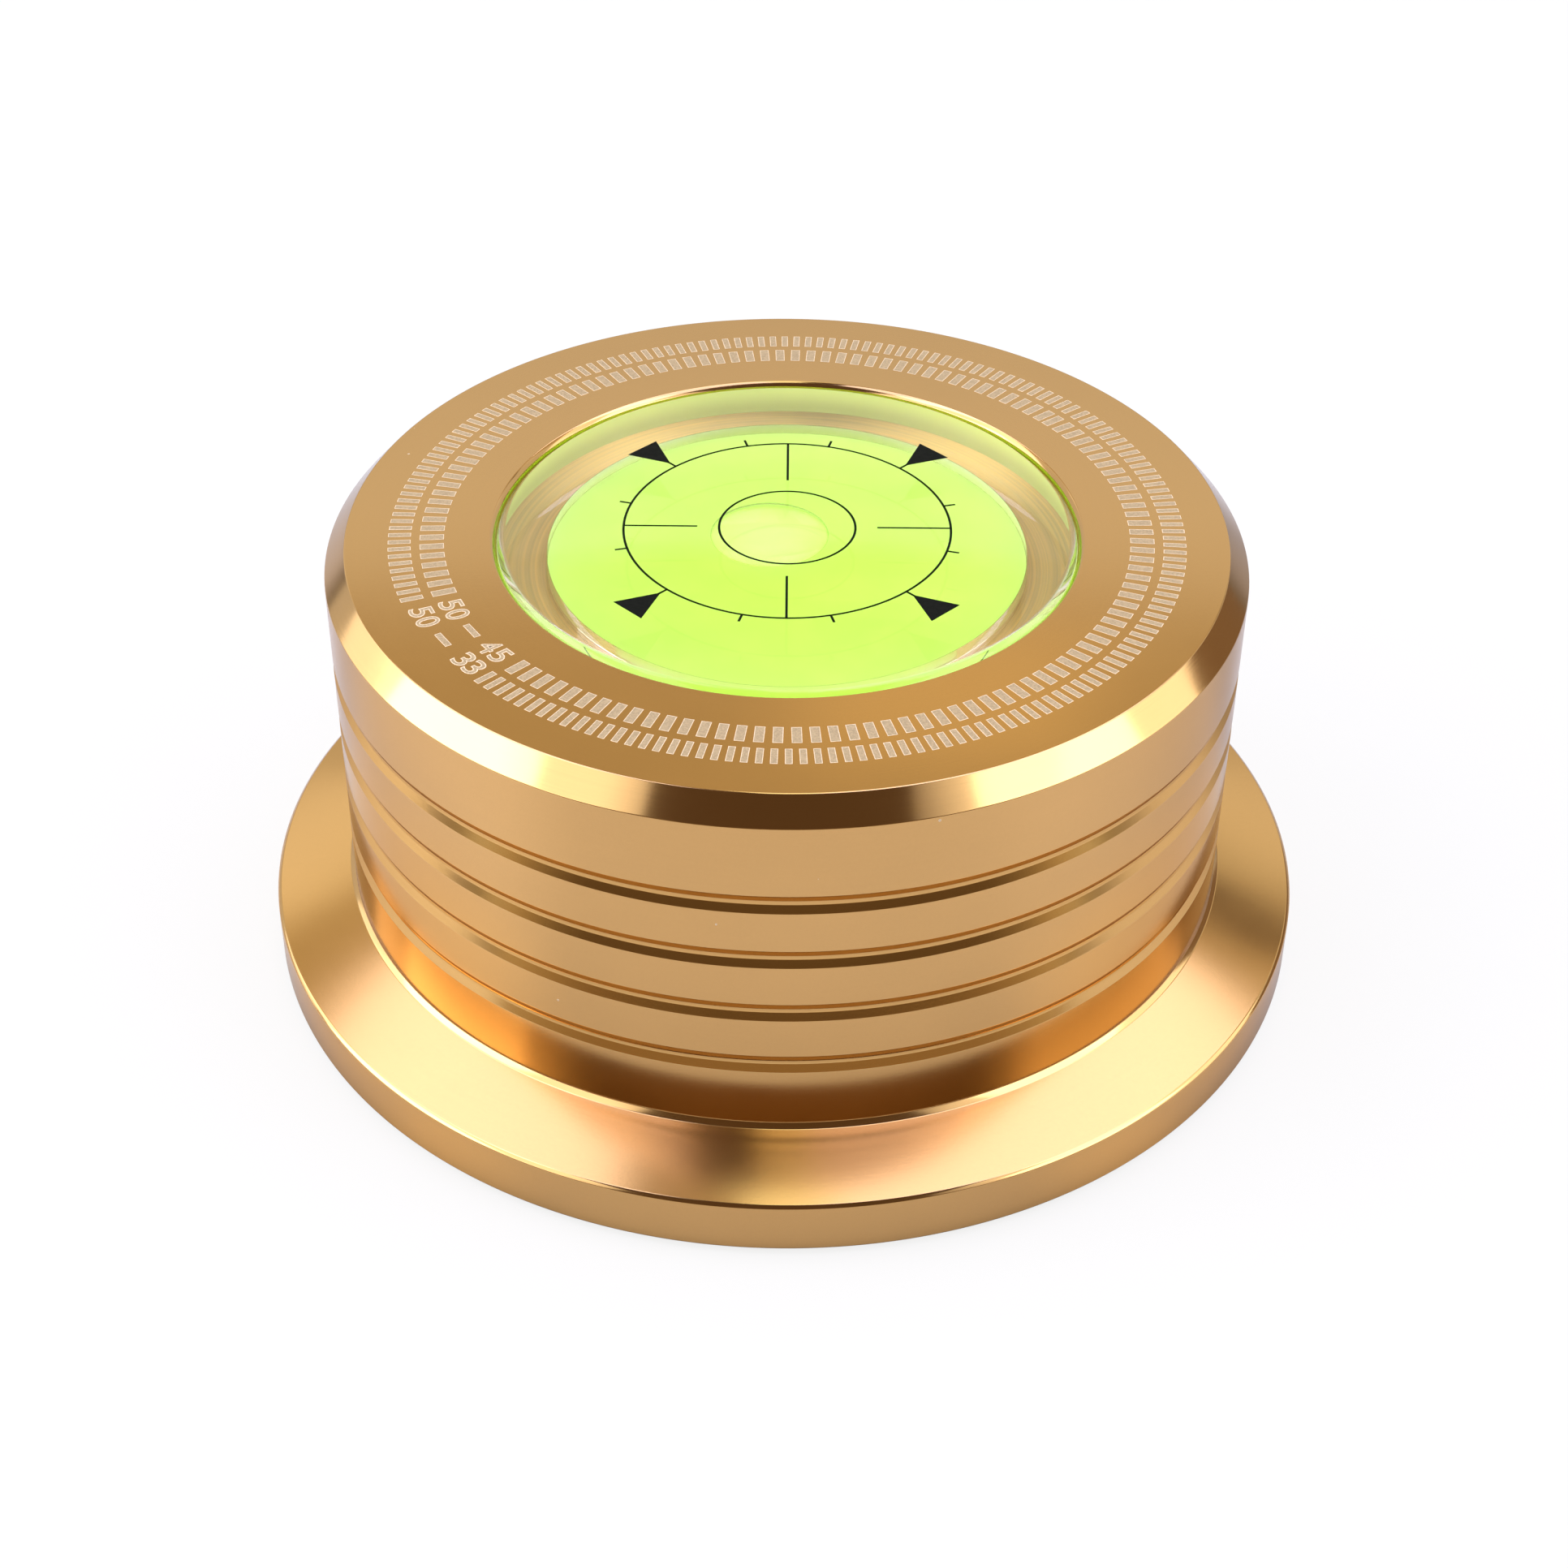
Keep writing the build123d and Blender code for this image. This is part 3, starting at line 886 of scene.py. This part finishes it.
dome_radii = [CHAMBER_RADIUS * i / DOME_STEPS for i in range(DOME_STEPS + 1)]
dome = [(radius, ceiling_height(radius)) for radius in dome_radii]
vial_outline = dome + [(CHAMBER_RADIUS, RECESS_FLOOR + FLOAT), (VIAL_RADIUS, RECESS_FLOOR + FLOAT)]
vial_edge = [(VIAL_RADIUS, VIAL_TOP - VIAL_CHAMFER), (VIAL_RADIUS - VIAL_CHAMFER, VIAL_TOP)]
mesh = spun(vial_outline + vial_edge + [(0, VIAL_TOP)], steps=LEVEL_STEPS)
for corner in reversed(vial_edge):
    rounded(mesh, *corner, VIAL_ROUND, 3)
for face in mesh.faces:
    outside = face.calc_center_median().xy.length > (VIAL_RADIUS - NEAR) * MM
    face.material_index = FROSTED if outside and abs(face.normal.z) < UPRIGHT else POLISHED
vial = keep(mesh, "vial", "clear_acrylic", acrylic, turned_acrylic, sharp=25)
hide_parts("level_vial")

# %% Spirit and bubble
OVERLAP = 0.03
BUBBLE_PLACE, BUBBLE_RADIUS, BUBBLE_DEPTH = Vector((-1.3, 1.6, 0)), 4.35, 1.1
CROWN_SHARE, BELLY_SHARE = 0.30, 0.80  # of the bubble's depth, above and below its rim
FILM = 0.09  # of spirit between the bubble and the ceiling
side = CHAMBER_RADIUS + OVERLAP
surface = [(r * side / CHAMBER_RADIUS, z + OVERLAP) for r, z in dome]
mesh = spun(surface + [(side, BASE_TOP - OVERLAP), (0, BASE_TOP - OVERLAP)], steps=LEVEL_STEPS)

hollow = bmesh.ops.create_uvsphere(mesh, u_segments=96, v_segments=48, radius=1.0)["verts"]
for vert in hollow:
    vert.co.z *= CROWN_SHARE if vert.co.z > 0 else BELLY_SHARE
bmesh.ops.scale(mesh, verts=hollow, vec=(BUBBLE_RADIUS * MM, BUBBLE_RADIUS * MM, BUBBLE_DEPTH * MM))
crown = ceiling_height(BUBBLE_PLACE.length) - FILM - CROWN_SHARE * BUBBLE_DEPTH
bmesh.ops.translate(mesh, verts=hollow, vec=(BUBBLE_PLACE + Vector((0, 0, crown))) * MM)
bmesh.ops.reverse_faces(mesh, faces=list({f for v in hollow for f in v.link_faces}))
liquid = keep(mesh, "spirit", "level_spirit", spirit, sharp=40)
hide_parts("level_fluid")

# %% White disc under the spirit
white_plastic, tree, skin = new_finish("white_plastic_moulded")
moulding = add(tree, "TexNoise", Vector=place_of(tree), Scale=260.0, Detail=4.0).outputs["Fac"]
white = blend(tree, spread(tree, moulding, 0.3, 0.7), rgb(0.86, 0.87, 0.83), rgb(0.92, 0.92, 0.89))
put(tree, skin.inputs["Base Color"], white)
skin.inputs["Roughness"].default_value = 0.55
relief = add(tree, "Bump", Strength=0.4, Distance=0.02 * MM, Height=moulding)
put(tree, skin.inputs["Normal"], relief.outputs["Normal"])
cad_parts["level_base"].data.materials[0] = white_plastic
print("level_base keeps its CAD shape")

# %% [markdown]
# ## The print on the lens
#
# A bullseye level needs a ring that the bubble settles into. The ring, four pointers and a scale of
# ticks are printed in black on the lens. They are thin plates that stand on the acrylic, spun or
# cut from simple shapes, so that their edges stay sharp at any distance and their shadow falls on
# the white disc below.

# %% Ink
black_ink, tree, skin = new_finish("black_ink")
lay = add(tree, "TexNoise", Vector=place_of(tree), Scale=2500.0, Detail=3.0).outputs["Fac"]
black = blend(tree, spread(tree, lay, 0.62, 0.80), rgb(0.003, 0.004, 0.003), rgb(0.012, 0.016, 0.008))
put(tree, skin.inputs["Base Color"], black)
put(tree, skin.inputs["Roughness"], spread(tree, lay, 0.3, 0.7, 0.5, 0.65))
skin.inputs["Specular IOR Level"].default_value = 0.06
print("ink:", black_ink.name)

# %% Ring, pointers and ticks
INK_BOTTOM, INK_TOP = VIAL_TOP + 0.002, VIAL_TOP + 0.012
LINE = 0.18
BUBBLE_RING, SCALE_RING, RING_STEPS = 5.0, 12.0, 128  # two middle radii, and the steps of a turn
CROSS_START, TICK_END = 6.6, 12.9
POINTER_TIP, POINTER_REACH, POINTER_SLIMNESS = 12.6, 3.2, 1.9
TRIANGLE_HEIGHT = 1.5  # of an even triangle whose corners lie on a circle of radius 1


def printed_ring(radius):
    """A printed circle of that middle radius."""
    inner, outer = radius - LINE / 2, radius + LINE / 2
    section = [(inner, INK_BOTTOM), (outer, INK_BOTTOM), (outer, INK_TOP), (inner, INK_TOP)]
    return spun(section, steps=RING_STEPS, closed=True)


def printed_line(mesh, azimuth, inner, outer):
    """A printed line along a radius."""
    plate(mesh, azimuth, inner, outer, LINE, INK_BOTTOM, INK_TOP)


def printed_pointer(mesh, azimuth):
    """A solid triangle that points at the middle of the level."""
    turn = Matrix.Rotation(radians(azimuth), 4, "Z")
    reach, breadth = POINTER_REACH / TRIANGLE_HEIGHT, POINTER_REACH / POINTER_SLIMNESS
    middle = Matrix.Translation((POINTER_TIP + reach, 0, (INK_TOP + INK_BOTTOM) / 2))
    size = Matrix.Diagonal((reach, breadth, INK_TOP - INK_BOTTOM, 1))
    flat = size @ Matrix.Rotation(pi / 2, 4, "Z")
    bmesh.ops.create_cone(
        mesh, cap_ends=True, segments=3, radius1=1.0, radius2=1.0, depth=1.0,
        matrix=Matrix.Scale(MM, 4) @ turn @ middle @ flat,
    )


mesh = printed_ring(BUBBLE_RING)
scale_ring = printed_ring(SCALE_RING)
shape = bpy.data.meshes.new("scale_ring")
scale_ring.to_mesh(shape)
scale_ring.free()
join(mesh, shape)
for azimuth in range(0, 360, 90):
    printed_line(mesh, azimuth, CROSS_START, SCALE_RING)
    printed_pointer(mesh, azimuth + 45)
for azimuth in range(15, 360, 30):
    printed_line(mesh, azimuth, SCALE_RING, TICK_END)
keep(mesh, "level_print", "clear_acrylic", black_ink, sharp=30)

# %% [markdown]
# ## The felt pad
#
# A ring of black felt is glued into the underside and touches the label. Felt is pressed from loose
# fibres, so its faces are never quite flat and its cut edges are soft. The ring is spun with
# rounded corners and enough divisions, and then its points are pressed inwards by a smooth noise, so
# that it stays above the label and inside its recess.

# %% Felt
black_felt, tree, skin = new_finish("pressed_black_felt")
here = place_of(tree)
curl = add(tree, "TexNoise", Vector=here, Scale=700.0, Detail=4.0, Distortion=2.5).outputs["Fac"]
fibre = add(tree, "TexNoise", Vector=here, Scale=5200.0, Detail=2.0, Distortion=1.2).outputs["Fac"]
pressed = math(tree, "ADD", times(tree, curl, 0.5), times(tree, fibre, 0.5))
wool = blend(tree, spread(tree, pressed, 0.38, 0.62), rgb(0.012, 0.012, 0.014), rgb(0.05, 0.05, 0.056))
put(tree, skin.inputs["Base Color"], wool)
skin.inputs["Roughness"].default_value = 0.95
skin.inputs["Sheen Weight"].default_value = 0.5
skin.inputs["Sheen Roughness"].default_value = 0.5
relief = add(tree, "Bump", Strength=0.8, Distance=0.12 * MM, Height=pressed)
put(tree, skin.inputs["Normal"], relief.outputs["Normal"])
print("felt:", black_felt.name)

# %% Felt ring
PAD_INNER, PAD_OUTER, PAD_THICKNESS, PAD_ROUND = 6.95, 35.35, 1.5, 0.22
PAD_DIVISIONS, PAD_STEPS = 30, 192
LUMP_HEIGHT = 0.04
LUMPS, SMALL_LUMPS = 450.0, 1400.0  # per metre
across = [PAD_INNER + (PAD_OUTER - PAD_INNER) * i / PAD_DIVISIONS for i in range(PAD_DIVISIONS + 1)]
ring = [(r, 0) for r in across] + [(r, PAD_THICKNESS) for r in reversed(across)]
mesh = spun(ring, steps=PAD_STEPS, closed=True)
for radius in (PAD_INNER, PAD_OUTER):
    for height in (0, PAD_THICKNESS):
        rounded(mesh, radius, height, PAD_ROUND, 3)
for vert in mesh.verts:
    lump = noise.noise(vert.co * LUMPS) + 0.5 * noise.noise(vert.co * SMALL_LUMPS)
    inward = LUMP_HEIGHT * MM * (1.0 + lump) / 2
    vert.co.z += inward if vert.co.z < PAD_THICKNESS * MM / 2 else -inward
pad = keep(mesh, "felt_ring", "black_felt", black_felt)
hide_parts("felt_pad")
